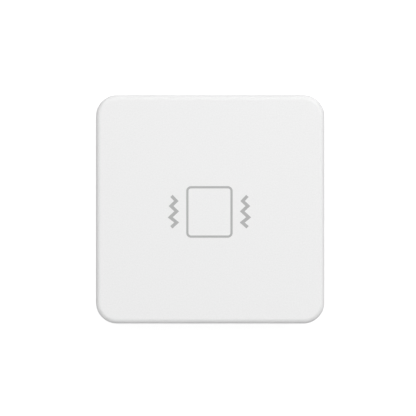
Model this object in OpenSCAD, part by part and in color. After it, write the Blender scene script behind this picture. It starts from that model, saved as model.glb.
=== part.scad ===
// Battery vibration sensor tag: a square two-part case with a lift-off front cover,
// a circuit board screwed to the rear shell, a coin cell in a sheet-metal clip and a side button.
// The sticky face lies on z = 0 at the origin, and the front face looks along +Z.

/* [Case] */
// Side length of the square case, seen from the front
case_w = 40; // [40:0.5:44]
// Height of the front face above the sticky face
case_h = 11; // [11:0.25:13]
// Radius of the four case corners, seen from the front
corner_r = 3.7; // [3.4:0.1:4.2]
// Rounding between the front face and the sides
front_edge_r = 0.9; // [0.6:0.1:1.1]
// Rounding between the back and the sides
rear_edge_r = 1.2; // [0.8:0.1:1.3]
// Rounding of the two edges that meet at the seam
seam_edge_r = 0.15; // [0.1:0.05:0.2]
// Thickness of the side walls
wall = 1.6; // [1.5:0.05:1.7]
// Thickness of the front wall
front_t = 1.5; // [1.3:0.1:1.5]
// Height of the rear floor's inner face above the sticky face
floor_z = 2; // [1.8:0.1:2.1]

/* [Sticky pad] */
// Thickness of the foam pad
pad_t = 0.8; // [0.7:0.05:0.9]
// Depth of the pad's recess in the rear shell
pad_recess = 0.3; // [0.2:0.05:0.4]
// Width of the case rim around the pad
pad_margin = 2; // [1.8:0.1:3]

/* [Seam] */
// Height of the rear shell's outer wall above the sticky face
seam_z = 5.4; // [5.3:0.05:5.5]
// Width of the shadow gap between the shells
seam_gap = 0.25; // [0.15:0.05:0.35]
// Height of the locating tongue above the rear wall
tongue_h = 1.2; // [1:0.1:1.3]
// Thickness of the locating tongue
tongue_t = 0.75; // [0.65:0.05:0.8]
// Side clearance between tongue and cover
tongue_clear = 0.1; // [0.08:0.01:0.15]
// Length of the pry notch in the bottom edge
pry_l = 8; // [6:0.5:10]

/* [Snap hooks] */
// Distance of each snap hook from the middle of its wall
hook_x = 9; // [8.5:0.25:9.5]
// Width of a snap hook
hook_w = 4; // [3:0.25:4]
// Thickness of a snap hook's arm
hook_t = 0.9; // [0.8:0.05:1]
// How far a hook's nose reaches into the cover's wall
hook_grip = 0.55; // [0.4:0.05:0.6]

/* [Side button] */
// Length of the button cap along the case's side
button_l = 5.6; // [5:0.2:6]
// Height of the button cap
button_w = 1.6; // [1.4:0.1:1.6]
// Travel of the button
button_travel = 0.3; // [0.2:0.05:0.3]
// Clearance around the button cap
button_clear = 0.1; // [0.08:0.01:0.12]

/* [Circuit board] */
// Side length of the circuit board
board_w = 34.6; // [34.2:0.1:34.6]
// Thickness of the circuit board
board_t = 1; // [0.8:0.1:1]
// Distance of each board screw from the case's centre lines
screw_pos = 14.2; // [14:0.1:14.4]

/* [Coin cell] */
// Diameter of the coin cell
cell_d = 20; // [16:4:20]
// Height of the coin cell
cell_h = 3.2; // [2.5:0.1:3.2]
// Centre of the coin cell, from the case's centre
cell_pos = [-5, -4.8]; // [-5.6:0.1:-4.4]

/* [Hidden] */
$fn = 32;
fn_cell = 60;                                 // facets round the cell
fn_small = 20;                                // facets round the smallest parts
cut = 0.05;                                   // how far a cutting solid runs past a face

// Case
shell_z = pad_t - pad_recess;                 // lowest plane of the rear shell
pad_w = case_w - 2 * pad_margin;
pad_r = corner_r - 1.2;
pad_clear = 0.2;                              // from the pad to the side of its recess
inner_w = case_w - 2 * wall;
inner_r = corner_r - wall;
cover_z = seam_z + seam_gap;                  // lower edge of the front cover
tongue_z = seam_z + tongue_h;                 // the cover rests here
ceiling_z = case_h - front_t;                 // inner face of the front wall
key_w = 2;                                    // rib that lets the cover fit one way round
key_clear = 0.2;
pry_h = 0.8;
gusset = [0.8, 1.5];                          // thickness and reach of a rib under the front wall
gusset_x = 4.6;
floor_rib = [0.8, 0.5];                       // width and height of a rib on the rear floor
floor_rib_x = 6;

// Snap hooks
hook_gap = 0.2;                               // from the arm to the wall behind it
hook_nose = hook_gap + hook_grip;
hook_catch_z = tongue_z + 0.85;               // underside of the nose
hook_lead = 1.15;                             // height of the nose with its lead-in slope
hook_play = 0.05;
pocket_clear = 0.3;
pocket_depth = hook_grip + 0.15;

// Circuit board and its screws
board_z = floor_z + 2.1;
board_top = board_z + board_t;
board_r = 1.8;
board_notch = [5, 0.8];                       // clearance for a flexing hook
screw_d = 1.6;
screw_head_d = 2.9;
screw_head_h = 0.95;
screw_l = 3;
pilot_d = 1.35;
boss_d = 4;

// Side button and its switch
button_z = floor_z + 1.4;
button_x = case_w / 2;                        // outer face of the cap, flush with the wall
flange_t = 0.4;
flange_lip = [0.7, 0.5];                      // the flange's overhang at the cap's ends and sides
flange_x = inner_w / 2 - flange_t;
switch_size = [2.9, 3.5, 1.35];
switch_x = board_w / 2 - 0.5;                 // front face of the switch
plunger_size = [1, 1.6, 0.7];                 // stem inside the switch, width and height
switch_bore_l = plunger_size.x + button_travel + 0.1;
switch_frame_t = 0.12;

// Coin cell and contacts
cell_r = cell_d / 2;
cell_z = board_top + 0.35;
cell_edge_r = 0.45;
cap_r = cell_r - 1.4;                         // the cell's flat underside, its other pole
cap_h = 0.6;
seal_r = cell_r - 0.9;
crimp_z = 0.2;                                // height of the can's lower edge above that underside
contact_t = 0.2;
clip_t = 0.3;
clip_bend = 0.5;                              // inner radius of the clip's two bends
clip_w = 9;
clip_gap = 0.2;                               // between the cell and the clip's bridge
clip_z = cell_z + cell_h + clip_gap;
clip_inner = cell_r + 0.3;
clip_tab = [1.8, 3.2];                        // width of a tab, and its distance from the middle
clip_window = [6.2, 2.7];                     // opening that a spring tongue is cut from
clip_window_pos = [0.8, 2.1];
clip_slot_clear = 0.15;
stop_gap = 0.25;                              // from the cell to the ribs that keep it in place
stop_t = 0.8;
stop_z = cell_z + 1;
stop_angle = 48;

// Status light
led_pos = [11.3, 9.6];
led_h = 0.65;
guide_d = 2.2;
guide_clear = 0.2;                            // round the rod, in the front wall and over the light
guide_gap = 0.05;                             // from the rod's end to the thin place before it
guide_flange = [7.2, 3.2, 0.6];
stake_x = 2.5;
stake_d = 0.9;
stake_head = [1.7, 0.35];
window_t = 0.8;                               // wall left in front of the light guide

// Chips: centre on the board, then size
shield_pos = [-4.5, 10.8];
shield_size = [12.4, 8, 1.7];
shield_t = 0.15;
radio_size = [6, 6, 0.85];
antenna_pos = [-14.6, 6.6];
antenna_size = [2, 7, 1.2];
antenna_end = 0.8;
sensor_pos = [10.8, -9.2];
sensor_size = [3, 2.5, 0.9];
crystal_pos = [5, 11.4];
crystal_size = [1.5, 3.2, 0.8];
bulk_pos = [10.4, 0.4];
bulk_size = [2.8, 3.5, 1.9];
bulk_lead = [1.8, 0.15, 1];

// Small passives: length, width, height and length of one end cap
passive = [1.6, 0.8, 0.6, 0.3];
// Centre and turn of each small capacitor
capacitor_places = [
    [7.6, -9.2, 90], [10.8, -12, 0], [14, -9.2, 90], [7.2, 0.4, 90],
    [4.2, 7.8, 0], [7.4, 11.4, 90], [-12.2, 11.8, 90], [13.6, 0.4, 90]
];
// Centre and turn of each small resistor
resistor_places = [
    [8.6, 7, 0], [14.4, 9.6, 90], [8, -13.6, 0], [13.8, 4.2, 0], [-12.4, 8.6, 90]
];
test_pad_d = 1.5;
test_pad_t = 0.05;
test_pad_pitch = 2.2;
test_pad_start = [7, -4.2];

cover_white = [0.94, 0.94, 0.94];
shell_white = [0.9, 0.9, 0.9];
foam_grey = [0.8, 0.8, 0.78];
mask_green = [0.05, 0.35, 0.2];
steel = [0.75, 0.76, 0.78];
tin = [0.8, 0.8, 0.8];
gold = [0.85, 0.7, 0.35];
epoxy_black = [0.1, 0.1, 0.11];

// Flat shapes

module rounded_rect(w, l, r) {
    square([w - 2 * r, l], center = true);
    square([w, l - 2 * r], center = true);
    for (x = [-1, 1], y = [-1, 1])
        translate([x * (w / 2 - r), y * (l / 2 - r)]) circle(r);
}

module stadium(l, w) {
    square([l - w, w], center = true);
    for (side = [-1, 1]) translate([side * (l - w) / 2, 0]) circle(w / 2);
}

// Solids that several pieces share

// A prism with its base at z, of the flat shape that follows
module prism(z, h) {
    translate([0, 0, z]) linear_extrude(h) children();
}

// Half of a section with its outer corners rounded, to turn about an axis
module soft_half(r, h, top, base = 0) {
    square([r - base, h / 2]);
    translate([0, h / 2]) square([r - top, h / 2]);
    translate([0, base]) square([r, h - base - top]);
    translate([r - top, h - top]) circle(top);
    if (base > 0) translate([r - base, base]) circle(base);
}

// The whole section, with its outer corners rounded
module soft_section(w, h, top, base = 0) {
    for (side = [0, 1]) mirror([side, 0]) soft_half(w / 2, h, top, base);
}

// A rectangular slab with upright corners of radius r and rounded top and base edges
module soft_slab(w, l, r, h, top, base = 0) {
    for (x = [-1, 1], y = [-1, 1]) translate([x * (w / 2 - r), y * (l / 2 - r), 0])
        rotate_extrude() soft_half(r, h, top, base);
    rotate([90, 0, 90]) linear_extrude(w - 2 * r, center = true) soft_section(l, h, top, base);
    if (l > 2 * r)
        rotate([90, 0, 0]) linear_extrude(l - 2 * r, center = true) soft_section(w, h, top, base);
}

// A block that stands on the board, by the middle of its base
module on_board(pos, size) {
    translate([pos.x - size.x / 2, pos.y - size.y / 2, board_top]) cube(size);
}

module on_board_at(pos, lift) {
    translate([pos.x, pos.y, board_top + lift]) children();
}

module four_corners(d) {
    for (x = [-d, d], y = [-d, d]) translate([x, y, 0]) children();
}

// Puts a copy at each of the four hooks, with +Y pointing out of the case
module each_hook() {
    for (turn = [0, 180], x = [-hook_x, hook_x]) rotate([0, 0, turn]) translate([x, 0, 0]) children();
}

// Case

module cover_cavity() {
    prism(cover_z - cut, ceiling_z - cover_z + cut) rounded_rect(inner_w, inner_w, inner_r);
    reach = tongue_t + tongue_clear;
    difference() {
        prism(cover_z - cut, tongue_z - cover_z + cut)
            rounded_rect(inner_w + 2 * reach, inner_w + 2 * reach, inner_r + reach);
        translate([-key_w / 2, inner_w / 2, cover_z - 2 * cut])
            cube([key_w, 2 * reach, tongue_z]);
    }
}

module hook_pockets() {
    pocket_w = hook_w + 2 * pocket_clear;
    each_hook() translate([-pocket_w / 2, inner_w / 2 - cut, hook_catch_z - hook_play])
        cube([pocket_w, pocket_depth + cut, hook_lead + 4 * hook_play]);
}

// Two pins with spread heads that hold the light guide under the front wall
module heat_stakes() {
    for (side = [-1, 1]) translate([led_pos.x + side * stake_x, led_pos.y, 0]) {
        translate([0, 0, ceiling_z - guide_flange.z - stake_head[1]])
            cylinder(d = stake_d, h = guide_flange.z + stake_head[1] + cut, $fn = fn_small);
        translate([0, 0, ceiling_z - guide_flange.z - stake_head[1]])
            cylinder(d1 = stake_d, d2 = stake_head[0], h = stake_head[1], $fn = fn_small);
    }
}

// Triangular ribs that brace the side walls against the front wall
module gussets() {
    for (turn = [0:90:270], x = [-gusset_x, gusset_x])
        rotate([0, 0, turn]) translate([x, inner_w / 2 + cut, ceiling_z + cut])
            rotate([90, 0, -90]) linear_extrude(gusset[0], center = true)
                polygon([[0, 0], [gusset[1], 0], [0, -gusset[1]]]);
}

// Curved ribs beside the two open sides of the clip, and short rods that rest over its bridge
module cell_ribs() {
    rod_gap = 0.05;
    rod_d = 2.4;
    rod_x = clip_inner - 1.7;
    at_cell(0) {
        for (turn = [90, 270]) rotate([0, 0, turn - stop_angle / 2]) translate([0, 0, stop_z])
            rotate_extrude(angle = stop_angle) translate([cell_r + stop_gap, 0])
                square([stop_t, ceiling_z - stop_z + cut]);
        for (side = [-1, 1]) translate([side * rod_x, 0, clip_z + clip_t + rod_gap])
            cylinder(d = rod_d, h = ceiling_z - clip_z - clip_t - rod_gap + cut);
    }
}

module front_cover() {
    color(cover_white) {
        difference() {
            translate([0, 0, cover_z]) soft_slab(
                case_w, case_w, corner_r, case_h - cover_z, front_edge_r, seam_edge_r);
            cover_cavity();
            hook_pockets();
            translate([led_pos.x, led_pos.y, ceiling_z - cut])
                cylinder(d = guide_d + 2 * guide_clear, h = front_t - window_t + cut);
        }
        heat_stakes();
        gussets();
        cell_ribs();
    }
}

module light_guide() {
    foot_z = board_top + led_h + guide_clear;
    color([0.85, 0.9, 0.95, 0.5]) translate([led_pos.x, led_pos.y, 0]) difference() {
        union() {
            translate([0, 0, foot_z])
                cylinder(d = guide_d, h = case_h - window_t - guide_gap - foot_z);
            prism(ceiling_z - guide_flange.z, guide_flange.z) stadium(guide_flange.x, guide_flange.y);
        }
        for (side = [-1, 1]) translate([side * stake_x, 0, 0])
            cylinder(d = stake_d + 0.1, h = case_h, $fn = fn_small);
    }
}

module tongue() {
    difference() {
        prism(floor_z, tongue_z - floor_z)
            rounded_rect(inner_w + 2 * tongue_t, inner_w + 2 * tongue_t, inner_r + tongue_t);
        prism(floor_z - cut, tongue_z) rounded_rect(inner_w, inner_w, inner_r);
        slot_w = key_w + 2 * key_clear;
        translate([-slot_w / 2, inner_w / 2 - cut, cover_z - seam_gap])
            cube([slot_w, wall, tongue_h + cut]);
    }
}

// Screw bosses, each braced by two ribs that run to the walls
module board_bosses() {
    rib_t = 0.8;
    rib_l = inner_w / 2 - screw_pos + cut;
    boss_h = board_z - floor_z + cut;
    translate([0, 0, floor_z - cut]) for (x = [-1, 1], y = [-1, 1]) {
        translate([x * screw_pos, y * screw_pos, 0]) cylinder(d = boss_d, h = boss_h);
        translate([x * (screw_pos + rib_l / 2), y * screw_pos, boss_h / 2])
            cube([rib_l, rib_t, boss_h], center = true);
        translate([x * screw_pos, y * (screw_pos + rib_l / 2), boss_h / 2])
            cube([rib_t, rib_l, boss_h], center = true);
    }
}

// Ledges under the board's left edge, and two posts that guide the button's flange
module board_ledges() {
    ledge = [inner_w / 2 - board_w / 2 + 1, 3, board_z - floor_z + cut];
    for (y = [-7, 7]) translate([-inner_w / 2 - cut, y - ledge.y / 2, floor_z - cut])
        cube([ledge.x + cut, ledge.y, ledge.z]);
    post = [1.8, 0.9, board_z - floor_z + cut];
    guide_y = button_l / 2 + flange_lip[0] + button_clear;
    for (side = [0, 1]) mirror([0, side, 0])
        translate([inner_w / 2 + cut - post.x, guide_y, floor_z - cut]) cube(post);
}

// Low ribs that stiffen the rear floor
module floor_ribs() {
    for (turn = [0, 90], y = [-floor_rib_x, floor_rib_x]) rotate([0, 0, turn])
        translate([0, y, floor_z + (floor_rib[1] - cut) / 2])
            cube([inner_w + 2 * cut, floor_rib[0], floor_rib[1] + cut], center = true);
}

module button_hole() {
    translate([inner_w / 2 - cut, 0, button_z]) rotate([90, 0, 90]) linear_extrude(wall + 2 * cut)
        stadium(button_l + 2 * button_clear, button_w + 2 * button_clear);
}

module rear_shell() {
    color(shell_white) difference() {
        union() {
            difference() {
                translate([0, 0, seam_z]) mirror([0, 0, 1]) soft_slab(
                    case_w, case_w, corner_r, seam_z - shell_z, rear_edge_r, seam_edge_r);
                prism(floor_z, case_h) rounded_rect(inner_w, inner_w, inner_r);
            }
            tongue();
            board_bosses();
            board_ledges();
            floor_ribs();
        }
        prism(shell_z - cut, pad_recess + cut)
            rounded_rect(pad_w + 2 * pad_clear, pad_w + 2 * pad_clear, pad_r + pad_clear);
        button_hole();
        translate([-pry_l / 2, -case_w / 2 - cut, seam_z - pry_h])
            cube([pry_l, wall - tongue_t + cut, pry_h + cut]);
        four_corners(screw_pos) translate([0, 0, board_z - screw_l + 0.5])
            cylinder(d = pilot_d, h = screw_l, $fn = fn_small);
    }
}

// One hook: an arm with a foot and a nose, drawn in the plane across the wall
module hook_section() {
    top = hook_catch_z - floor_z + hook_lead;
    foot = 0.5;
    polygon([
        [-foot, 0], [hook_t, 0],
        [hook_t, top - hook_lead], [hook_t + hook_nose, top - hook_lead],
        [hook_t + hook_nose, top - hook_lead + 0.3], [hook_t - 0.5, top],
        [0, top], [0, foot]
    ]);
}

module snap_hooks() {
    arm_y = inner_w / 2 - hook_gap - hook_t;
    color(shell_white) each_hook() translate([hook_w / 2, arm_y, floor_z])
        rotate([90, 0, -90]) mirror([1, 0, 0]) linear_extrude(hook_w) hook_section();
}

module adhesive_pad() {
    color(foam_grey) prism(0, pad_t) rounded_rect(pad_w, pad_w, pad_r);
}

// Side button and switch

module reset_button() {
    flange_l = button_l + 2 * flange_lip[0];
    flange_w = button_w + 2 * flange_lip[1];
    color(cover_white) translate([flange_x, 0, button_z]) rotate([90, 0, 90]) {
        linear_extrude(flange_t) stadium(flange_l, flange_w);
        soft_slab(button_l, button_w, button_w / 2, button_x - flange_x, 0.2);
    }
}

module switch_plunger() {
    base_x = switch_x - plunger_size.x;
    color(epoxy_black) translate([base_x, -plunger_size.y / 2, button_z - plunger_size.z / 2])
        cube([flange_x - base_x, plunger_size.y, plunger_size.z]);
}

module switch_body() {
    bore = [switch_bore_l + cut, plunger_size.y + 0.1, plunger_size.z + 0.1];
    base = [switch_size.x, switch_size.y - 2 * switch_frame_t, switch_size.z - switch_frame_t];
    color([0.15, 0.15, 0.16]) difference() {
        translate([switch_x - base.x, -base.y / 2, board_z - base.z]) cube(base);
        translate([switch_x - switch_bore_l, -bore.y / 2, button_z - bore.z / 2]) cube(bore);
    }
}

// A bent steel cover that holds the switch together, with its four solder feet
module switch_frame() {
    t = switch_frame_t;
    l = switch_size.x - 0.6;
    foot = [0.7, 0.8];
    color(steel) translate([switch_x - switch_size.x + 0.3, 0, board_z - switch_size.z]) {
        translate([0, -switch_size.y / 2, 0]) cube([l, switch_size.y, t]);
        for (side = [0, 1]) mirror([0, side, 0]) translate([0, switch_size.y / 2 - t, 0]) {
            cube([l, t, switch_size.z]);
            for (x = [0, l - foot.x]) translate([x, 0, switch_size.z - t]) cube([foot.x, foot.y, t]);
        }
    }
}

// Circuit board

module clip_slots() {
    for (x = [-1, 1], y = [-1, 1])
        translate([cell_pos.x + x * (clip_inner + clip_t / 2), cell_pos.y + y * clip_tab[1]])
            square([clip_t, clip_tab[0]] + 2 * clip_slot_clear * [1, 1], center = true);
}

module circuit_board() {
    color(mask_green) prism(board_z, board_t) difference() {
        rounded_rect(board_w, board_w, board_r);
        for (x = [-hook_x, hook_x], side = [-1, 1])
            translate([x, side * board_w / 2])
                square([board_notch.x, 2 * board_notch.y], center = true);
        for (x = [-screw_pos, screw_pos], y = [-screw_pos, screw_pos])
            translate([x, y]) circle(d = screw_d + 0.3);
        clip_slots();
    }
}

module board_screw() {
    slot = [1.7, 0.4, 0.55];
    tip_h = 0.4;
    difference() {
        union() {
            rotate_extrude() soft_half(screw_head_d / 2, screw_head_h, 0.45);
            translate([0, 0, -screw_l + tip_h]) cylinder(d = screw_d, h = screw_l - tip_h + cut);
            translate([0, 0, -screw_l]) cylinder(d1 = 0.6, d2 = screw_d, h = tip_h);
        }
        for (turn = [0, 90]) rotate([0, 0, turn])
            translate([-slot.x / 2, -slot.y / 2, screw_head_h - slot.z])
                cube(slot + [0, 0, cut]);
    }
}

module board_screws() {
    color(steel) four_corners(screw_pos) translate([0, 0, board_top]) board_screw($fn = fn_small);
}

// Coin cell and its contacts

module at_cell(z) {
    translate([cell_pos.x, cell_pos.y, z]) children();
}

// Steel can, its lower edge crimped inwards
module cell_can() {
    crimp = 1.1;
    color(steel) at_cell(cell_z) difference() {
        rotate_extrude($fn = fn_cell) difference() {
            translate([0, crimp_z])
                soft_half(cell_r, cell_h - crimp_z, cell_edge_r, $fn = fn_small);
            translate([cell_r, crimp_z]) rotate(45) square(crimp, center = true);
        }
        translate([0, 0, -cut]) cylinder(r = seal_r, h = cap_h + cut, $fn = fn_cell);
    }
}

module cell_gasket() {
    color(epoxy_black) at_cell(cell_z + crimp_z) difference() {
        cylinder(r = seal_r, h = cap_h - crimp_z, $fn = fn_cell);
        translate([0, 0, -cut]) cylinder(r = cap_r, h = cap_h, $fn = fn_cell);
    }
}

module cell_cap() {
    color(steel) at_cell(cell_z + cap_h) mirror([0, 0, 1])
        rotate_extrude($fn = fn_cell) soft_half(cap_r, cap_h, 0.3, $fn = fn_small);
}

// Bridge over the cell with a leg down each side, seen along the case's Y axis
module clip_section() {
    leg_z = board_top + 0.2;
    h = clip_z - leg_z;
    translate([0, leg_z]) difference() {
        soft_section(2 * (clip_inner + clip_t), h + clip_t, clip_bend + clip_t);
        translate([0, -cut]) soft_section(2 * clip_inner, h + cut, clip_bend);
    }
}

// Spring tongue pressed down out of the bridge until it touches the cell
module clip_finger() {
    l = clip_window.x - 0.8;
    bend_x = l * 0.7;
    lift = 0.15;
    rotate([90, 0, 0]) linear_extrude(clip_window.y - 0.8, center = true) polygon([
        [0, 0], [bend_x, -clip_gap], [l, lift - clip_gap],
        [l, lift - clip_gap + clip_t], [bend_x, clip_t - clip_gap], [0, clip_t]
    ]);
}

module battery_clip() {
    tab_z = board_z - 0.6;
    tab_h = board_top + 0.25 - tab_z;
    color(steel) at_cell(0) {
        difference() {
            rotate([90, 0, 0]) linear_extrude(clip_w, center = true) clip_section();
            for (turn = [0, 180]) rotate([0, 0, turn])
                translate([clip_window_pos.x, clip_window_pos.y - clip_window.y / 2, clip_z - cut])
                    cube([clip_window.x, clip_window.y, clip_t + 2 * cut]);
        }
        for (turn = [0, 180]) rotate([0, 0, turn])
            translate([clip_window_pos.x, clip_window_pos.y, clip_z]) clip_finger();
        for (x = [-1, 1], y = [-1, 1])
            translate([x * (clip_inner + clip_t / 2), y * clip_tab[1], tab_z + tab_h / 2])
                cube([clip_t, clip_tab[0], tab_h], center = true);
    }
}

// Three-armed spring plate under the cell, with a raised tip on each arm
module negative_contact() {
    arm = [6.2, 2, contact_t];
    tip_r = [0.9, 0.7];
    color(gold) at_cell(board_top) {
        cylinder(r = 2.4, h = contact_t);
        for (turn = [90, 210, 330]) rotate([0, 0, turn]) {
            translate([0, -arm.y / 2, 0]) cube(arm);
            translate([arm.x - 1, 0, 0])
                cylinder(r1 = tip_r[0], r2 = tip_r[1], h = cell_z - board_top, $fn = fn_small);
        }
    }
}

// Chips and small parts

module radio_shield() {
    pitch = 2.6;
    hole_d = 0.8;
    color(tin) difference() {
        translate([shield_pos.x, shield_pos.y, board_top])
            soft_slab(shield_size.x, shield_size.y, 0.6, shield_size.z, 0.25, $fn = fn_small);
        on_board(shield_pos, shield_size - shield_t * [2, 2, 1]);
        translate([shield_pos.x, shield_pos.y, board_top + shield_size.z / 2])
            for (x = [-1.5:1.5], y = [-0.5:0.5])
                translate([x * pitch, y * pitch, 0])
                    cylinder(d = hole_d, h = shield_size.z, $fn = fn_small);
    }
}

// A moulded chip with the dimple that marks its first pin
module moulded_chip(pos, size, dimple_d) {
    difference() {
        on_board(pos, size);
        translate([pos.x - size.x / 2, pos.y + size.y / 2, board_top + size.z - 0.06])
            translate(1.5 * dimple_d * [1, -1, 0]) cylinder(d = dimple_d, h = 1, $fn = fn_small);
    }
}

module radio_chip() {
    color(epoxy_black) moulded_chip(shield_pos, radio_size, 0.5);
}

module accelerometer() {
    color(epoxy_black) moulded_chip(sensor_pos, sensor_size, 0.35);
}

module chip_antenna() {
    color([0.85, 0.85, 0.8]) on_board(antenna_pos, antenna_size - [0, 2 * antenna_end, 0]);
}

module crystal() {
    lid = [0.3, 0.3, -0.3];                   // the lid is smaller, and stands above the base
    color(gold) {
        on_board(crystal_pos, crystal_size + [0, 0, lid.z]);
        on_board(crystal_pos, crystal_size - [lid.x, lid.y, 0]);
    }
}

module bulk_capacitor() {
    lift = 0.1;
    edge_r = 0.1;
    color([0.8, 0.6, 0.2]) on_board_at(bulk_pos, lift) soft_slab(
        bulk_size.x, bulk_size.y - 2 * lift, 2 * edge_r, bulk_size.z - lift, edge_r, $fn = fn_small);
}

module status_led() {
    color([0.95, 0.95, 0.85]) {
        on_board(led_pos, [1.6, 0.8, 0.25]);
        on_board(led_pos, [1, 0.8, led_h]);
    }
}

// Puts a copy at each place in the list, turned as it says
module each_place(places) {
    for (place = places) translate([place[0], place[1], board_top]) rotate([0, 0, place[2]]) children();
}

module passive_body() {
    l = passive[0] - 2 * passive[3];
    translate([-l / 2, -passive[1] / 2, 0]) cube([l, passive[1], passive[2]]);
}

module passive_caps() {
    for (side = [0, 1]) mirror([side, 0, 0])
        translate([passive[0] / 2 - passive[3], -passive[1] / 2, 0])
            cube([passive[3], passive[1], passive[2]]);
}

module chip_capacitors() {
    color([0.65, 0.5, 0.35]) each_place(capacitor_places) passive_body();
}

module chip_resistors() {
    color(epoxy_black) each_place(resistor_places) passive_body();
}

// Tinned ends of the small passives, the antenna and the bulk capacitor
module passive_terminals() {
    antenna_y = (antenna_size.y - antenna_end) / 2;
    lead_y = (bulk_size.y - 0.2 + bulk_lead.y) / 2;
    color(tin) {
        each_place(concat(capacitor_places, resistor_places)) passive_caps();
        for (side = [-1, 1]) {
            on_board(antenna_pos + [0, side * antenna_y], [antenna_size.x, antenna_end, antenna_size.z]);
            on_board(bulk_pos + [0, side * lead_y], bulk_lead);
        }
    }
}

module test_pads() {
    color(gold) for (i = [0:4])
        translate([test_pad_start.x + i * test_pad_pitch, test_pad_start.y, board_top])
            cylinder(d = test_pad_d, h = test_pad_t, $fn = fn_small);
}

front_cover();
light_guide();
rear_shell();
snap_hooks();
adhesive_pad();
reset_button();
switch_plunger();
switch_body();
switch_frame();
circuit_board();
board_screws();
cell_can();
cell_gasket();
cell_cap();
battery_clip();
negative_contact();
radio_shield();
radio_chip();
chip_antenna();
accelerometer();
crystal();
bulk_capacitor();
chip_capacitors();
chip_resistors();
passive_terminals();
status_led();
test_pads();
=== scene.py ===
import math

import bmesh
import bpy
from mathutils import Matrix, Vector
from mathutils.geometry import tessellate_polygon


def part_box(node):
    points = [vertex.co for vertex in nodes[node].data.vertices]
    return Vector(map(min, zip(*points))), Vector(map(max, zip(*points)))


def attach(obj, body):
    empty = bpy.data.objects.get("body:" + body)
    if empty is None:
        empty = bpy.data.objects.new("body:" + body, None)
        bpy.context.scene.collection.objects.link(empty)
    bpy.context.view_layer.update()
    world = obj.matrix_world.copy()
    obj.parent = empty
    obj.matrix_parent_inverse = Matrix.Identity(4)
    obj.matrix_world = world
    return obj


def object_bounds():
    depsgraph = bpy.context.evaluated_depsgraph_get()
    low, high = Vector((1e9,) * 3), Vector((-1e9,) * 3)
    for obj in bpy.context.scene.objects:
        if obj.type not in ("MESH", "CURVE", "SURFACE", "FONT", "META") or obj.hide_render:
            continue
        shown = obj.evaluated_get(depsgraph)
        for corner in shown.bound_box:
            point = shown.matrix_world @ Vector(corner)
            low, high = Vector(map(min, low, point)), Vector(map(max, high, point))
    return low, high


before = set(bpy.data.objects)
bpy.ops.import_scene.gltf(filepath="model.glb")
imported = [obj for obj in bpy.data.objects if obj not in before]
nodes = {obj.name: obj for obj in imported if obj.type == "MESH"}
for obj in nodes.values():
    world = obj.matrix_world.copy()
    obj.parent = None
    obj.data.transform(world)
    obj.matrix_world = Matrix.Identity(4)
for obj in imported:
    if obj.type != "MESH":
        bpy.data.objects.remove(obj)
cad_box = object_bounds()

MM = 0.001

# Levels that the print, copper and solder lie on, in metres
FRONT_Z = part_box("front_cover")[1].z
BOARD_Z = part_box("circuit_board")[1].z

# The photo is 416 pixels wide, and the case is 228.4 of them
PHOTO_PX = 416
CASE_PX = 228.4
CASE_CENTRE_PX = (210.2, 209.3)
LENS_MM = 200
SENSOR_MM = 36

# The outline is widest this far behind the front face, in millimetres
WIDEST_DEPTH = 0.9

# The printed sign, in millimetres
SIGN_CENTRE = (-0.134, -0.46)
SIGN_BOX = (8.10, 9.005)
SIGN_LINE = 0.385
SIGN_CORNER_R = 0.84
WAVE_LINE = 0.57
WAVE_POINTS = [
    (-6.63, 2.80), (-5.80, 1.91), (-6.71, 1.03), (-5.73, 0.11),
    (-6.85, -0.94), (-5.73, -1.84), (-6.66, -2.68),
]
INK_T = 0.006

# Thin layers on the board: how far each stands above it, in millimetres. All reach into it by
# LAYER_SUNK, and strokes of one layer differ by LAYER_STEP, so that no two faces coincide
POUR_T = 0.010
GAP_T = 0.012
TRACK_T = 0.019
HOLE_T = 0.026
PAD_T = 0.028
SILK_T = 0.032
LAYER_SUNK = 0.004
LAYER_STEP = 0.0002
TRACK_GAP = 0.16
VIA_R = 0.3
VIA_HOLE_R = 0.13
SCREW_LAND_R = 1.85
SCREW_GAP_R = 2.1

# The ground copper leaves bare the board's edges, the notches for the hooks and the antenna's corner
BOARD_MARGIN = 0.5
POUR_CORNER = 1.2
NOTCH_X = 9.0
NOTCH_HALF_W = 3.0
NOTCH_DEPTH = 0.8
NOTCH_BEVEL = 0.4
ANTENNA_CLEAR = (0.5, 1.2)

# Solder at the terminals of the small parts
TERMINAL_MARGIN = 0.12
TERMINAL_REACH = 0.2
FILLET_STEPS = 5
FILLET_SHARE = 0.7
FILLET_H = 0.6
FILLET_RUN = 0.26

# Solder round the clip's four tabs: strip thickness, half the tabs' pitch, half sizes of a pad
CLIP_T = 0.3
CLIP_TAB_Y = 3.2
CLIP_PAD = (0.55, 1.3)

# Pads that peep out from under a part: node, axis, pitch, count, pad width, reach
CHIP_PADS = [
    ("accelerometer", 0, 0.5, 4, 0.26, 0.14),
    ("accelerometer", 1, 0.5, 5, 0.26, 0.14),
    ("crystal", 1, 1.0, 1, 1.3, 0.2),
    ("status_led", 0, 1.0, 1, 0.8, 0.2),
    ("radio_shield", 0, 2.6, 3, 1.2, 0.22),
    ("radio_shield", 1, 3.4, 4, 1.4, 0.22),
]

# The white print: corner marks round some parts, with the gap to each part
SILK_W = 0.14
SILK_CORNER = 0.5
SILK_BOXES = {
    "radio_shield": 0.4,
    "accelerometer": 0.4,
    "crystal": 0.4,
    "bulk_capacitor": 0.5,
    "status_led": 0.4,
}
SIDE_LINE_GAP = 0.28
CELL_RING_GAP = 0.7
CELL_RING_ARCS = [(-62, -30), (28, 62), (118, 150), (210, 240)]
PLUS_PLACE = (6.7, -2.8)
PLUS_ARM = 0.55
PLUS_W = 0.25
PIN_DOT_PLACE = (-0.1, 0.75)
PIN_DOT_R = 0.16

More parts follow.
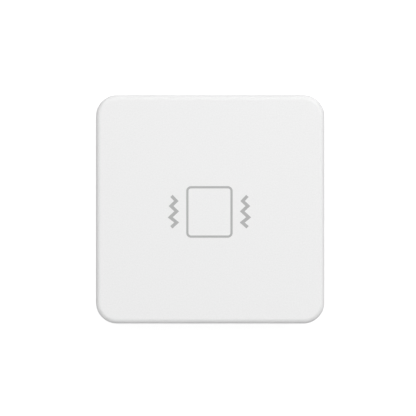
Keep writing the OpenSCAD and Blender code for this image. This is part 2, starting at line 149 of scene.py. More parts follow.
# Marks on top of the parts. All reach into the part by MARK_SUNK
MARK_SUNK = 0.01
CELL_MARK_INSET = 2.9
CELL_MARK_ARM = 1.0
CELL_MARK_W = 0.32
CELL_MARK_T = 0.006
CRYSTAL_RIM = 0.14
CRYSTAL_LID_T = 0.02
STRIPE_MARGIN = 0.14
STRIPE_FROM_END = (0.95, 0.5)
STRIPE_T = 0.004

# Copper tracks by width, in millimetres: each is a list of points on the board
TRACKS = {
    0.2: [
        [(1.4, 8.2), (2.8, 8.2), (3.4, 7.8)],
        [(1.4, 12.4), (3.9, 12.4), (4.6, 12.2)],
        [(1.4, 10.5), (4.6, 10.5)],
        [(5.4, 10.5), (6.2, 10.5), (7.2, 10.8)],
        [(9.4, 7.0), (9.9, 7.0), (10.4, 7.5), (10.4, 9.6)],
        [(12.1, 9.6), (13.0, 9.6), (14.0, 8.8)],
        [(14.4, 10.4), (14.4, 11.6), (13.6, 12.4)],
        [(7.8, 7.0), (6.6, 7.0), (5.8, 7.8), (5.0, 7.8)],
        [(7.0, -4.2), (7.0, -6.4), (7.6, -7.0), (7.6, -8.4)],
        [(9.2, -4.2), (9.2, -6.8), (10.0, -7.6), (10.0, -8.4)],
        [(11.4, -4.2), (11.4, -8.4)],
        [(13.6, -4.2), (13.6, -6.4), (12.6, -7.4), (12.0, -8.2)],
        [(15.8, -4.2), (15.8, -11.6), (13.8, -13.6), (8.8, -13.6)],
        [(7.6, -10.0), (7.6, -11.4), (9.6, -12.6), (9.6, -12.0), (10.2, -12.0)],
        [(12.0, -10.0), (12.6, -10.8), (14.0, -10.8), (14.0, -10.0)],
        [(14.6, 4.2), (15.4, 4.2), (16.0, 3.6), (16.0, -1.0), (15.2, -1.8)],
        [(13.0, 4.2), (11.8, 4.2), (10.6, 5.4), (8.0, 5.4), (7.2, 6.2), (7.2, 6.9)],
        [(13.6, 1.2), (13.6, 2.6), (13.0, 3.2), (13.0, 4.0)],
        [(-12.4, 9.4), (-12.2, 10.4), (-12.2, 11.2)],
        [(-11.0, 7.0), (-11.6, 7.0), (-12.4, 7.6)],
    ],
    0.35: [
        [(-14.6, 9.8), (-14.6, 11.4), (-13.4, 12.4), (-12.4, 12.4)],
    ],
    0.8: [
        [(5.6, -1.6), (6.4, -1.6), (7.2, -0.8), (7.2, -0.3)],
        [(7.2, -0.6), (8.0, -1.4), (10.4, -1.4)],
        [(10.4, 2.1), (10.4, 3.4), (8.6, 3.4), (7.2, 2.2), (7.2, 1.2)],
    ],
}
VIAS = [
    (13.6, 12.4), (15.2, -1.8), (3.4, 14.6), (5.0, 14.6), (3.2, 9.3), (6.4, 4.4), (8.4, -6.4),
    (12.5, -5.9), (14.8, -6.0), (9.0, -10.9), (12.9, -12.6), (16.4, 6.4), (16.2, 8.6), (-12.4, 5.2),
    (-9.0, 15.6), (-6.0, 15.6), (-3.0, 15.6), (0.0, 15.6), (10.2, 12.2), (12.0, 12.8), (8.6, 14.8),
]

# The floor lies this far below the sticky face, in millimetres, so that the two do not coincide
FLOOR_DROP = 0.01

# The studio's soft boxes: name, azimuth clockwise from the photo's top edge, elevation, size, watts
LAMP_DISTANCE = 0.8
LAMPS = [
    ("key", 45, 40, 0.6, 2.15),
    ("key_high", 45, 65, 0.6, 1.75),
    ("top_high", 0, 65, 0.6, 1.1),
    ("top_low", 0, 15, 0.35, 0.3),
    ("left", 315, 40, 0.6, 0.85),
    ("front", 180, 40, 0.6, 0.6),
    ("left_low", 225, 15, 0.35, 0.46),
]


# Materials


class Shader:
    """A node material with one Principled shader, and short calls to add nodes to it."""

    def __init__(self, name, colour, roughness, metallic=0.0):
        self.material = bpy.data.materials.new(name)
        self.material.use_nodes = True
        self.tree = self.material.node_tree
        self.bsdf = self.tree.nodes["Principled BSDF"]
        self.set(**{"Base Color": (*colour, 1.0), "Roughness": roughness, "Metallic": metallic})
        self.coords = self.tree.nodes.new("ShaderNodeTexCoord").outputs["Object"]

    def set(self, **values):
        for name, value in values.items():
            self.bsdf.inputs[name].default_value = value
        return self

    def link(self, source, target):
        self.tree.links.new(source, target)

    def place(self, stretch=(1, 1, 1), centre=(0, 0, 0)):
        """Object coordinates, moved to a centre and stretched."""
        node = self.tree.nodes.new("ShaderNodeMapping")
        node.vector_type = "TEXTURE"
        node.inputs["Location"].default_value = centre
        node.inputs["Scale"].default_value = stretch
        self.link(self.coords, node.inputs["Vector"])
        return node.outputs["Vector"]

    def noise(self, size_mm, detail=3.0, vector=None):
        """Noise whose grains are about size_mm wide."""
        node = self.tree.nodes.new("ShaderNodeTexNoise")
        node.inputs["Scale"].default_value = 1 / (size_mm * MM)
        node.inputs["Detail"].default_value = detail
        self.link(vector or self.coords, node.inputs["Vector"])
        return node.outputs["Fac"]

    def rings(self, centre, size_mm):
        """Noise that varies only with the distance from an upright axis, like turning marks."""
        length = self.tree.nodes.new("ShaderNodeVectorMath")
        length.operation = "LENGTH"
        self.link(self.place((1, 1, 1000), centre), length.inputs[0])
        node = self.tree.nodes.new("ShaderNodeTexNoise")
        node.noise_dimensions = "1D"
        node.inputs["Scale"].default_value = 1 / (size_mm * MM)
        self.link(length.outputs["Value"], node.inputs["W"])
        return node.outputs["Fac"]

    def spread(self, factor, low, high, sharp=0.0):
        """A value that runs from low to high with the factor."""
        node = self.tree.nodes.new("ShaderNodeMapRange")
        node.inputs["From Min"].default_value = 0.25 + sharp
        node.inputs["From Max"].default_value = 0.75 - sharp
        node.inputs["To Min"].default_value = low
        node.inputs["To Max"].default_value = high
        self.link(factor, node.inputs["Value"])
        return node.outputs["Result"]

    def vary_roughness(self, factor, low, high):
        self.link(self.spread(factor, low, high), self.bsdf.inputs["Roughness"])
        return self

    def vary_colour(self, factor, colour_a, colour_b, sharp=0.0):
        node = self.tree.nodes.new("ShaderNodeMix")
        node.data_type = "RGBA"
        node.inputs["A"].default_value = (*colour_a, 1.0)
        node.inputs["B"].default_value = (*colour_b, 1.0)
        self.link(self.spread(factor, 0.0, 1.0, sharp), node.inputs["Factor"])
        self.link(node.outputs["Result"], self.bsdf.inputs["Base Color"])
        return self

    def side_colour(self, colour):
        """Another colour on the upright faces, such as the bare core at a board's edge."""
        geometry = self.tree.nodes.new("ShaderNodeNewGeometry")
        split = self.tree.nodes.new("ShaderNodeSeparateXYZ")
        self.link(geometry.outputs["Normal"], split.inputs["Vector"])
        upright = self.tree.nodes.new("ShaderNodeMath")
        upright.operation = "ABSOLUTE"
        self.link(split.outputs["Z"], upright.inputs[0])
        node = self.tree.nodes.new("ShaderNodeMix")
        node.data_type = "RGBA"
        node.inputs["A"].default_value = (*colour, 1.0)
        top = self.bsdf.inputs["Base Color"].links[0].from_socket
        self.link(top, node.inputs["B"])
        self.link(self.spread(upright.outputs["Value"], 0.0, 1.0, 0.1), node.inputs["Factor"])
        self.link(node.outputs["Result"], self.bsdf.inputs["Base Color"])
        return self

    def relief(self, factor, depth_mm, edge_mm=0.06):
        """Bumps of a given depth, over edges that are rounded off by edge_mm."""
        bump = self.tree.nodes.new("ShaderNodeBump")
        bump.inputs["Distance"].default_value = depth_mm * MM
        self.link(factor, bump.inputs["Height"])
        if edge_mm:
            edge = self.tree.nodes.new("ShaderNodeBevel")
            edge.samples = 4
            edge.inputs["Radius"].default_value = edge_mm * MM
            self.link(edge.outputs["Normal"], bump.inputs["Normal"])
        self.link(bump.outputs["Normal"], self.bsdf.inputs["Normal"])
        return self


def darker(colour, factor):
    """The colour times a factor."""
    return tuple(c * factor for c in colour)


def case_plastic():
    white = (0.845, 0.845, 0.845)
    shader = Shader("case_plastic", white, 0.48)
    shader.vary_colour(shader.noise(0.25), darker(white, 0.95), white)
    shader.vary_roughness(shader.noise(0.6), 0.44, 0.54)
    shader.relief(shader.noise(0.22, 2.0), 0.0022, 0.05)
    return shader.material


def sign_ink():
    grey = (0.424, 0.424, 0.424)
    shader = Shader("sign_ink", grey, 0.55)
    shader.vary_colour(shader.noise(0.3), darker(grey, 0.96), grey)
    shader.vary_roughness(shader.noise(0.15), 0.5, 0.62)
    shader.relief(shader.noise(0.08), 0.001, 0)
    return shader.material


def foam_tape():
    foam = (0.62, 0.62, 0.60)
    shader = Shader("foam_tape", foam, 0.85)
    shader.vary_colour(shader.noise(0.35), darker(foam, 0.86), foam)
    shader.relief(shader.noise(0.3, 4.0), 0.05, 0.1)
    return shader.material


def light_pipe():
    clear = (0.93, 0.95, 0.97)
    shader = Shader("light_pipe", clear, 0.15)
    shader.set(**{"Transmission Weight": 0.72, "IOR": 1.49})
    shader.vary_colour(shader.noise(1.2), darker(clear, 0.96), clear)
    shader.vary_roughness(shader.noise(0.6), 0.1, 0.24)
    return shader.material


def board_mask():
    green = (0.012, 0.115, 0.048)
    shader = Shader("board_mask", green, 0.3)
    shader.vary_colour(shader.noise(0.7), darker(green, 0.82), green)
    shader.side_colour((0.42, 0.36, 0.17))
    shader.vary_roughness(shader.noise(0.4), 0.24, 0.38)
    weave = shader.noise(0.5, 2.0, shader.place((1.0, 0.25, 1.0)))
    shader.relief(weave, 0.006, 0.05)
    shader.set(**{"Coat Weight": 0.35, "Coat Roughness": 0.2})
    return shader.material


def covered_copper():
    green = (0.03, 0.22, 0.085)
    shader = Shader("covered_copper", green, 0.3)
    shader.vary_colour(shader.noise(0.5), darker(green, 0.85), green)
    shader.relief(shader.noise(0.3), 0.003, 0.02)
    shader.set(**{"Coat Weight": 0.35, "Coat Roughness": 0.2})
    return shader.material


def silk_print():
    white = (0.72, 0.73, 0.70)
    shader = Shader("silk_print", white, 0.6)
    shader.vary_colour(shader.noise(0.2), darker(white, 0.88), white)
    return shader.material


def sheet_steel(name, colour, roughness, stretch=(1.0, 0.06, 1.0)):
    shader = Shader(name, colour, roughness, 1.0)
    streaks = shader.noise(0.5, 4.0, shader.place(stretch))
    shader.vary_colour(shader.noise(2.5), darker(colour, 0.92), colour)
    shader.vary_roughness(streaks, roughness - 0.07, roughness + 0.09)
    shader.relief(streaks, 0.002, 0.06)
    return shader.material


def turned_steel(centre):
    colour = (0.50, 0.50, 0.495)
    shader = Shader("turned_steel", colour, 0.2, 1.0)
    marks = shader.rings(centre, 0.12)
    shader.vary_colour(shader.noise(3.0), darker(colour, 0.93), colour)
    shader.vary_roughness(marks, 0.15, 0.27)
    shader.relief(marks, 0.002, 0.08)
    return shader.material


def gold_plate():
    colour = (0.83, 0.60, 0.24)
    shader = Shader("gold_plate", colour, 0.28, 1.0)
    shader.vary_colour(shader.noise(0.6), darker(colour, 0.88), colour)
    shader.vary_roughness(shader.noise(0.3), 0.22, 0.38)
    shader.relief(shader.noise(0.15), 0.002, 0.04)
    return shader.material


def solder():
    colour = (0.55, 0.55, 0.56)
    shader = Shader("solder", colour, 0.25, 1.0)
    shader.vary_colour(shader.noise(0.5), darker(colour, 0.85), colour)
    shader.vary_roughness(shader.noise(0.25), 0.16, 0.36)
    shader.relief(shader.noise(0.3), 0.01, 0.04)
    return shader.material


def moulded(name, colour, roughness, grain_mm=0.1, depth_mm=0.004):
    shader = Shader(name, colour, roughness)
    shader.vary_colour(shader.noise(grain_mm * 4), darker(colour, 0.85), colour)
    shader.vary_roughness(shader.noise(grain_mm * 2), roughness - 0.06, roughness + 0.08)
    shader.relief(shader.noise(grain_mm), depth_mm, 0.05)
    return shader.material


def led_lens():
    colour = (0.85, 0.8, 0.45)
    shader = Shader("led_lens", colour, 0.25)
    shader.vary_colour(shader.noise(0.3), darker(colour, 0.85), colour)
    shader.set(**{"Transmission Weight": 0.2})
    return shader.material


def dress(material, *names):
    """Gives CAD nodes a material."""
    for name in names:
        mesh = nodes[name].data
        mesh.materials.clear()
        mesh.materials.append(material)


cell_low, cell_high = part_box("cell_can")
cell_centre = (cell_low + cell_high) / 2

plastic = case_plastic()
nickel = sheet_steel("nickel_strip", (0.50, 0.485, 0.45), 0.24, (0.06, 1.0, 1.0))
tinned_can = sheet_steel("tinned_can", (0.46, 0.46, 0.452), 0.36)
zinc = sheet_steel("zinc_plate", (0.46, 0.46, 0.475), 0.3, (1.0, 1.0, 1.0))
turned = turned_steel(cell_centre)
gold = gold_plate()
tin = solder()
black_epoxy = moulded("black_epoxy", (0.022, 0.022, 0.024), 0.5, 0.08, 0.006)
black_nylon = moulded("black_nylon", (0.03, 0.03, 0.032), 0.42)
bare_mask = board_mask()
copper_green = covered_copper()
silk = silk_print()

dress(plastic, "front_cover", "rear_shell", "snap_hooks", "reset_button")
dress(foam_tape(), "adhesive_pad")
dress(light_pipe(), "light_guide")
dress(bare_mask, "circuit_board")
dress(nickel, "battery_clip", "switch_frame")
dress(zinc, "board_screws")
dress(turned, "cell_can", "cell_cap")
dress(gold, "negative_contact", "test_pads", "crystal")
dress(tinned_can, "radio_shield")
dress(tin, "passive_terminals")
dress(black_epoxy, "radio_chip", "accelerometer", "chip_resistors")
dress(black_nylon, "switch_body", "switch_plunger", "cell_gasket")
dress(moulded("antenna_ceramic", (0.60, 0.58, 0.50), 0.45), "chip_antenna")
dress(moulded("capacitor_ceramic", (0.30, 0.17, 0.085), 0.4), "chip_capacitors")
dress(moulded("tantalum_epoxy", (0.62, 0.36, 0.05), 0.42), "bulk_capacitor")
dress(led_lens(), "status_led")


# Meshes


def new_piece(name, mesh_builder, material, body):
    """A piece whose mesh the builder fills in, with its material, riding on a body."""
    mesh = bpy.data.meshes.new(name)
    bm = bmesh.new()
    mesh_builder(bm)
    bmesh.ops.recalc_face_normals(bm, faces=bm.faces)
    bm.to_mesh(mesh)
    bm.free()
    mesh.materials.append(material)
    piece = bpy.data.objects.new(name, mesh)
    bpy.context.scene.collection.objects.link(piece)
    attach(piece, body)
    return piece


def solid(bm, outline, z0, z1):
    """A prism over a closed outline of points in metres."""
    low = [bm.verts.new((x, y, z0)) for x, y in outline]
    high = [bm.verts.new((x, y, z1)) for x, y in outline]
    count = len(outline)
    for i in range(count):
        j = (i + 1) % count
        bm.faces.new((low[i], low[j], high[j], high[i]))
    for triangle in tessellate_polygon([[Vector((x, y, 0)) for x, y in outline]]):
        bm.faces.new([high[i] for i in triangle])
        bm.faces.new([low[i] for i in triangle])


def offset_points(points, distance, closed):
    """The points moved to the left of the way they run, with mitred corners."""
    count = len(points)
    moved = []
    for i, point in enumerate(points):
        before = points[i - 1] if closed or i > 0 else None
        after = points[(i + 1) % count] if closed or i < count - 1 else None
        ways = [(point - before).normalized()] if before is not None else []
        ways += [(after - point).normalized()] if after is not None else []
        normals = [Vector((-way.y, way.x)) for way in ways]
        mitre = sum(normals, Vector((0, 0))).normalized()
        moved.append(point + mitre * distance / mitre.dot(normals[0]))
    return moved


def stroke(bm, points_mm, width_mm, z0, z1, closed=False):
    """A flat line of constant width with mitred corners and square ends."""
    points = [Vector(p) * MM for p in points_mm]
    left = offset_points(points, width_mm * MM / 2, closed)
    right = offset_points(points, -width_mm * MM / 2, closed)
    rows = [
        [bm.verts.new((p.x, p.y, z)) for p in side]
        for side, z in ((left, z0), (left, z1), (right, z1), (right, z0))
    ]
    count = len(points)
    for i in range(count if closed else count - 1):
        j = (i + 1) % count
        for a, b in zip(rows, rows[1:] + rows[:1]):
            bm.faces.new((a[i], a[j], b[j], b[i]))
    if not closed:
        bm.faces.new([row[0] for row in rows])
        bm.faces.new([row[-1] for row in reversed(rows)])


def rounded_box_points(centre, size, r, steps=10):
    """Points in millimetres round a rectangle with corners of radius r."""
    points = []
    for quarter, (sx, sy) in enumerate(((1, 1), (-1, 1), (-1, -1), (1, -1))):
        cx = centre[0] + sx * (size[0] / 2 - r)
        cy = centre[1] + sy * (size[1] / 2 - r)
        for step in range(steps + 1):
            angle = math.radians(90 * (quarter + step / steps))
            points.append((cx + r * math.cos(angle), cy + r * math.sin(angle)))
    return points


def circle_points(centre, r, steps):
    angles = [2 * math.pi * i / steps for i in range(steps)]
    return [(centre[0] + r * math.cos(a), centre[1] + r * math.sin(a)) for a in angles]


def disc(bm, centre_mm, r_mm, z0, z1, steps=20):
    solid(bm, [(x * MM, y * MM) for x, y in circle_points(centre_mm, r_mm, steps)], z0, z1)


def plate(bm, low, high, z0, z1):
    """A rectangular plate between two corners in millimetres."""
    corners = [(low[0], low[1]), (high[0], low[1]), (high[0], high[1]), (low[0], high[1])]
    solid(bm, [(x * MM, y * MM) for x, y in corners], z0, z1)


# The printed sign: a tag between two shaking lines


def sign_mesh(bm):
    """The outline of a tag with a zigzag line on each side, as a film of ink."""
    z0, z1 = FRONT_Z - INK_T * MM, FRONT_Z + INK_T * MM
    centre_line = rounded_box_points(
        SIGN_CENTRE, (SIGN_BOX[0] - SIGN_LINE, SIGN_BOX[1] - SIGN_LINE), SIGN_CORNER_R - SIGN_LINE / 2
    )
    stroke(bm, centre_line, SIGN_LINE, z0, z1, closed=True)
    for side in (1, -1):
        wave = [(SIGN_CENTRE[0] + side * x, SIGN_CENTRE[1] + y) for x, y in WAVE_POINTS]
        stroke(bm, wave, WAVE_LINE, z0, z1)


new_piece("vibration_sign", sign_mesh, sign_ink(), "cover")


# Small parts on the board


def islands(name):
    """The lowest and highest corners of each separate solid in a CAD node."""
    bm = bmesh.new()
    bm.from_mesh(nodes[name].data)
    bmesh.ops.remove_doubles(bm, verts=bm.verts, dist=1e-6)
    seen = set()
    boxes = []
    for start in bm.verts:
        if start.index in seen:
            continue
        seen.add(start.index)
        group, queue = [], [start]
        while queue:
            vert = queue.pop()
            group.append(vert.co.copy())
            for edge in vert.link_edges:
                other = edge.other_vert(vert)
                if other.index not in seen:
                    seen.add(other.index)
                    queue.append(other)
        low = Vector(min(p[i] for p in group) for i in range(3))
        high = Vector(max(p[i] for p in group) for i in range(3))
        boxes.append((low, high))
    bm.free()
    return boxes


def mid(box):
    """The middle of a box given by two corners."""
    return (box[0] + box[1]) / 2


small_bodies = (
    islands("chip_capacitors") + islands("chip_resistors")
    + islands("chip_antenna") + islands("bulk_capacitor")
)
terminals = []
for box in islands("passive_terminals"):
    owner = min(small_bodies, key=lambda other: (mid(other) - mid(box)).length)
    away = mid(box) - mid(owner)
    axis = 0 if abs(away.x) > abs(away.y) else 1
    terminals.append((box, axis, 1 if away[axis] > 0 else -1))


def solder_pads(bm):
    """A tinned pad under each terminal, a little larger than the terminal."""
    margin = Vector((TERMINAL_MARGIN, TERMINAL_MARGIN, 0)) * MM
    for (low, high), axis, side in terminals:
        reach = Vector((0, 0, 0))
        reach[axis] = side * TERMINAL_REACH * MM
        a, b = low - margin, high + margin
        a[axis] += min(reach[axis], 0)
        b[axis] += max(reach[axis], 0)
        plate(bm, a / MM, b / MM, BOARD_Z, BOARD_Z + PAD_T * MM)


def solder_fillets(bm):
    """A hollow-faced wedge of solder at the foot of each terminal."""
    for (low, high), axis, side in terminals:
        height = min((high.z - low.z) * FILLET_SHARE, FILLET_H * MM)
        run = min(FILLET_RUN * MM, height)
        start = high[axis] if side > 0 else low[axis]
        across = 1 - axis
        rows = []
        for edge in (low[across], high[across]):
            row = []
            for i in range(FILLET_STEPS + 1):
                t = i / FILLET_STEPS
                rise = height * (1 - math.sqrt(1 - (1 - t) ** 2))
                point = Vector((0, 0, BOARD_Z + PAD_T * MM + rise))
                point[axis] = start + side * run * t
                point[across] = edge
                row.append(bm.verts.new(point))
            foot = Vector((0, 0, BOARD_Z))
            foot[axis] = start
            foot[across] = edge
            tip = foot.copy()
            tip[axis] = start + side * run
            row += [bm.verts.new(tip), bm.verts.new(foot)]
            rows.append(row)
        count = len(rows[0])
        for i in range(count):
            j = (i + 1) % count
            bm.faces.new((rows[0][i], rows[0][j], rows[1][j], rows[1][i]))
        bm.faces.new(rows[0])
        bm.faces.new(rows[1])


new_piece("solder_pads", solder_pads, tin, "case")
new_piece("solder_fillets", solder_fillets, tin, "case")


# Copper and print on the board

screws = [mid(box) / MM for box in islands("board_screws")]


def box_mm(name):
    """A node's lowest and highest corners, in millimetres."""
    return tuple(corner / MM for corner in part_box(name))


def layer(height_mm, index=0):
    """The bottom and top levels of a thin layer, a hair higher for each index."""
    return BOARD_Z - LAYER_SUNK * MM, BOARD_Z + (height_mm + LAYER_STEP * index) * MM


def copper_pour(bm):
    """The ground copper over the whole board, a little lighter than the bare mask."""
    board_low, board_high = box_mm("circuit_board")
    antenna_low, antenna_high = box_mm("chip_antenna")
    x0, y0 = board_low.x + BOARD_MARGIN, board_low.y + BOARD_MARGIN
    x1, y1 = board_high.x - BOARD_MARGIN, board_high.y - BOARD_MARGIN
    clear_x, clear_y = antenna_high.x + ANTENNA_CLEAR[0], antenna_low.y - ANTENNA_CLEAR[1]
    wide, narrow = NOTCH_HALF_W, NOTCH_HALF_W - NOTCH_BEVEL
    outline = [(x0, y0 + POUR_CORNER), (x0 + POUR_CORNER, y0)]
    for centre in (-NOTCH_X, NOTCH_X):
        outline += [(centre - wide, y0), (centre - narrow, y0 + NOTCH_DEPTH)]
        outline += [(centre + narrow, y0 + NOTCH_DEPTH), (centre + wide, y0)]
    outline += [(x1 - POUR_CORNER, y0), (x1, y0 + POUR_CORNER)]
    outline += [(x1, y1 - POUR_CORNER), (x1 - POUR_CORNER, y1)]
    for centre in (NOTCH_X, -NOTCH_X):
        outline += [(centre + wide, y1), (centre + narrow, y1 - NOTCH_DEPTH)]
        outline += [(centre - narrow, y1 - NOTCH_DEPTH), (centre - wide, y1)]
    outline += [(clear_x + NOTCH_BEVEL, y1), (clear_x, y1 - NOTCH_BEVEL), (clear_x, clear_y + NOTCH_BEVEL)]
    outline += [(clear_x - NOTCH_BEVEL, clear_y), (x0, clear_y)]
    solid(bm, [(x * MM, y * MM) for x, y in outline], *layer(POUR_T))


all_tracks = [(width, points) for width, tracks in TRACKS.items() for points in tracks]


def track_gaps(bm):
    """The bare strips on both sides of each track, and the bare ring round each screw."""
    for i, (width, points) in enumerate(all_tracks):
        stroke(bm, points, width + 2 * TRACK_GAP, *layer(GAP_T, i))
    for i, screw in enumerate(screws):
        disc(bm, screw, SCREW_GAP_R, *layer(GAP_T, len(all_tracks) + i), steps=40)


def copper_tracks(bm):
    """The tracks under the solder mask, with a round land at each via."""
    for i, (width, points) in enumerate(all_tracks):
        stroke(bm, points, width, *layer(TRACK_T, i))
    for via in VIAS:
        disc(bm, via, VIA_R, *layer(TRACK_T, len(all_tracks)))


def via_holes(bm):
    """The filled middles of the vias."""
    for via in VIAS:
        disc(bm, via, VIA_HOLE_R, *layer(HOLE_T), steps=12)


def screw_lands(bm):
    """The tinned land under each screw head."""
    for screw in screws:
        disc(bm, screw, SCREW_LAND_R, *layer(PAD_T), steps=40)


def pad_row(bm, box, axis, pitch, count, size, reach):
    """Pads that peep out by reach on both sides of a part, in a row across the axis."""
    low, high = box
    middle = (low + high) / 2
    for side in (-1, 1):
        edge = high[axis] if side > 0 else low[axis]
        for i in range(count):
            a, b = Vector((0, 0)), Vector((0, 0))
            a[axis], b[axis] = sorted((edge + side * reach, edge - side * reach))
            a[1 - axis] = middle[1 - axis] + pitch * (i - (count - 1) / 2) - size / 2
            b[1 - axis] = a[1 - axis] + size
            plate(bm, a, b, *layer(PAD_T))


def chip_pads(bm):
    """The tinned pads that show round the chips, the shield, the crystal and the light."""
    for name, *row in CHIP_PADS:
        pad_row(bm, box_mm(name), *row)


def clip_pads(bm):
    """Solder round the four tabs of the clip, where they go through the board."""
    low, high = box_mm("battery_clip")
    middle = (low.y + high.y) / 2
    for x in (low.x + CLIP_T / 2, high.x - CLIP_T / 2):
        for y in (middle - CLIP_TAB_Y, middle + CLIP_TAB_Y):
            low_corner = (x - CLIP_PAD[0], y - CLIP_PAD[1])
            plate(bm, low_corner, (x + CLIP_PAD[0], y + CLIP_PAD[1]), *layer(PAD_T))


def silk_box(bm, low, high, margin, corner=SILK_CORNER):
    """Printed corner marks round a part."""
    x0, y0, x1, y1 = low.x - margin, low.y - margin, high.x + margin, high.y + margin
    for x, sx in ((x0, 1), (x1, -1)):
        for y, sy in ((y0, 1), (y1, -1)):
            stroke(bm, [(x + sx * corner, y), (x, y), (x, y + sy * corner)], SILK_W, *layer(SILK_T))


def plus(bm, centre, arm, width, z0, z1):
    """A plus sign as one outline of twelve corners."""
    w = width / 2
    quarter = [(arm, -w), (arm, w), (w, w)]
    outline = []
    for _ in range(4):
        outline += [((centre[0] + x) * MM, (centre[1] + y) * MM) for x, y in quarter]
        quarter = [(-y, x) for x, y in quarter]
    solid(bm, outline, z0, z1)


def arc_points(centre, r, start, end, steps=40):
    angles = [math.radians(start + (end - start) * i / steps) for i in range(steps + 1)]
    return [(centre[0] + r * math.cos(a), centre[1] + r * math.sin(a)) for a in angles]


def board_print(bm):
    """The white print: corner marks, side lines, arcs round the cell, a plus and a pin dot."""
    for name, margin in SILK_BOXES.items():
        silk_box(bm, *box_mm(name), margin)
    for name in ("chip_capacitors", "chip_resistors"):
        for low, high in (tuple(corner / MM for corner in box) for box in islands(name)):
            across = 0 if high.x - low.x < high.y - low.y else 1
            for side in (-1, 1):
                edge = (low if side < 0 else high)[across] + side * SIDE_LINE_GAP
                ends = [Vector((0, 0)), Vector((0, 0))]
                ends[0][1 - across], ends[1][1 - across] = low[1 - across], high[1 - across]
                ends[0][across] = ends[1][across] = edge
                stroke(bm, ends, SILK_W, *layer(SILK_T))
    cell = cell_centre / MM
    rim = (cell_high.x - cell_low.x) / MM / 2 + CELL_RING_GAP
    for start, end in CELL_RING_ARCS:
        stroke(bm, arc_points(cell, rim, start, end), SILK_W, *layer(SILK_T))
    plus(bm, PLUS_PLACE, PLUS_ARM, PLUS_W, *layer(SILK_T))
    low, high = box_mm("accelerometer")
    pin_dot = (low.x + PIN_DOT_PLACE[0], high.y + PIN_DOT_PLACE[1])
    disc(bm, pin_dot, PIN_DOT_R, *layer(SILK_T), steps=12)


new_piece("copper_pour", copper_pour, copper_green, "case")
new_piece("track_gaps", track_gaps, bare_mask, "case")
new_piece("copper_tracks", copper_tracks, copper_green, "case")
new_piece("via_holes", via_holes, bare_mask, "case")
new_piece("screw_lands", screw_lands, tin, "case")
new_piece("chip_pads", chip_pads, tin, "case")
new_piece("clip_pads", clip_pads, tin, "case")
new_piece("board_print", board_print, silk, "case")


# Marks on top of the parts


def mark_levels(top, height_mm):
    """The bottom and top levels of a mark on a face at the level top."""
    return top - MARK_SUNK * MM, top + height_mm * MM


def cell_mark(bm):
    """The plus sign stamped in the face of the cell, in front of the clip."""
    place = (cell_centre.x / MM, cell_low.y / MM + CELL_MARK_INSET)
    plus(bm, place, CELL_MARK_ARM, CELL_MARK_W, *mark_levels(cell_high.z, CELL_MARK_T))


def crystal_lid(bm):
    """The welded lid of the crystal, a little smaller than its gold-plated rim."""
    low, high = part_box("crystal")
    rim = Vector((CRYSTAL_RIM, CRYSTAL_RIM)) * MM
    plate(bm, (low.xy + rim) / MM, (high.xy - rim) / MM, *mark_levels(high.z, CRYSTAL_LID_T))


def polarity_stripe(bm):
    """The printed stripe at the positive end of the large capacitor."""
    low, high = box_mm("bulk_capacitor")
    start, end = (high.y - inset for inset in STRIPE_FROM_END)
    levels = mark_levels(high.z * MM, STRIPE_T)
    plate(bm, (low.x + STRIPE_MARGIN, start), (high.x - STRIPE_MARGIN, end), *levels)


new_piece("cell_mark", cell_mark, sheet_steel("stamped_mark", (0.30, 0.30, 0.30), 0.45), "case")
new_piece("crystal_lid", crystal_lid, tinned_can, "case")
new_piece("polarity_stripe", polarity_stripe, moulded("stripe_ink", (0.17, 0.075, 0.02), 0.5), "case")


# Camera, floor and light


def add_camera():
    """The photo's view, straight at the front face, with the case where the photo has it."""
    data = bpy.data.cameras.new("camera")
    data.lens = LENS_MM
    data.sensor_width = SENSOR_MM
    camera = bpy.data.objects.new("camera", data)
    bpy.context.scene.collection.objects.link(camera)
    case_w = cad_box[1].x - cad_box[0].x
    px = case_w / CASE_PX
    widest_z = FRONT_Z - WIDEST_DEPTH * MM
    distance = PHOTO_PX * px * LENS_MM / SENSOR_MM
    shift_x = (CASE_CENTRE_PX[0] - PHOTO_PX / 2) * px
    shift_y = (CASE_CENTRE_PX[1] - PHOTO_PX / 2) * px
    camera.location = (-shift_x, shift_y, widest_z + distance)
    bpy.context.scene.camera = camera


def background_rays(tree):
    """1 for rays that see the background: straight, in a reflection or through clear plastic."""
    path = tree.nodes.new("ShaderNodeLightPath")
    total = path.outputs["Is Camera Ray"]
    for name in ("Is Glossy Ray", "Is Transmission Ray"):
        node = tree.nodes.new("ShaderNodeMath")
        node.operation = "MAXIMUM"
        tree.links.new(total, node.inputs[0])
        tree.links.new(path.outputs[name], node.inputs[1])
        total = node.outputs["Value"]
    return total


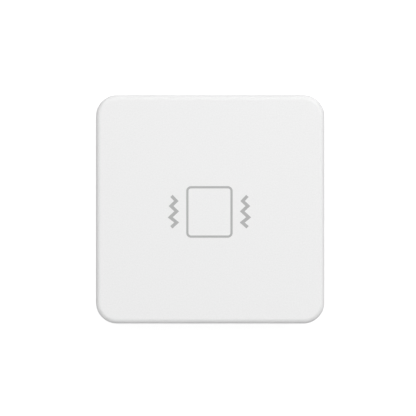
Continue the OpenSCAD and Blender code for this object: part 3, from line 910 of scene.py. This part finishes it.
def add_floor(half=1.5, diffuse=0.3, glow=0.87):
    """A floor that looks white, but takes the object's shadow and lights it only a little."""
    mesh = bpy.data.meshes.new("floor")
    mesh.from_pydata(
        [(-half, -half, 0), (half, -half, 0), (half, half, 0), (-half, half, 0)], [], [(0, 1, 2, 3)]
    )
    floor = bpy.data.objects.new("floor", mesh)
    floor.location.z = -FLOOR_DROP * MM
    bpy.context.scene.collection.objects.link(floor)
    material = bpy.data.materials.new("floor")
    material.use_nodes = True
    tree = material.node_tree
    bsdf = tree.nodes["Principled BSDF"]
    bsdf.inputs["Base Color"].default_value = (diffuse, diffuse, diffuse, 1)
    bsdf.inputs["Roughness"].default_value = 1.0
    bsdf.inputs["Specular IOR Level"].default_value = 0.0
    bsdf.inputs["Emission Color"].default_value = (1, 1, 1, 1)
    scale = tree.nodes.new("ShaderNodeMath")
    scale.operation = "MULTIPLY"
    scale.inputs[1].default_value = glow
    tree.links.new(background_rays(tree), scale.inputs[0])
    tree.links.new(scale.outputs["Value"], bsdf.inputs["Emission Strength"])
    mesh.materials.append(material)


def add_world(level=0.3):
    """White surroundings for rays that see the background, and a plain level for the rest."""
    world = bpy.data.worlds.new("studio")
    bpy.context.scene.world = world
    world.use_nodes = True
    tree = world.node_tree
    background = tree.nodes["Background"]
    background.inputs["Color"].default_value = (1, 1, 1, 1)
    blend = tree.nodes.new("ShaderNodeMapRange")
    blend.inputs["To Min"].default_value = level
    blend.inputs["To Max"].default_value = 1.0
    tree.links.new(background_rays(tree), blend.inputs["Value"])
    tree.links.new(blend.outputs["Result"], background.inputs["Strength"])


def add_lamp(name, azimuth, elevation, size, watts):
    """A square soft box that points at the case. Azimuth runs clockwise from the photo's top edge."""
    data = bpy.data.lights.new(name, "AREA")
    data.shape = "SQUARE"
    data.size = size
    data.energy = watts
    lamp = bpy.data.objects.new(name, data)
    a, e = math.radians(azimuth), math.radians(elevation)
    away = Vector((math.sin(a) * math.cos(e), math.cos(a) * math.cos(e), math.sin(e)))
    lamp.location = away * LAMP_DISTANCE
    lamp.rotation_euler = (-away).to_track_quat("-Z", "Y").to_euler()
    bpy.context.scene.collection.objects.link(lamp)


add_camera()
add_floor()
add_world()
for lamp in LAMPS:
    add_lamp(*lamp)
bpy.context.scene.view_settings.view_transform = "Standard"
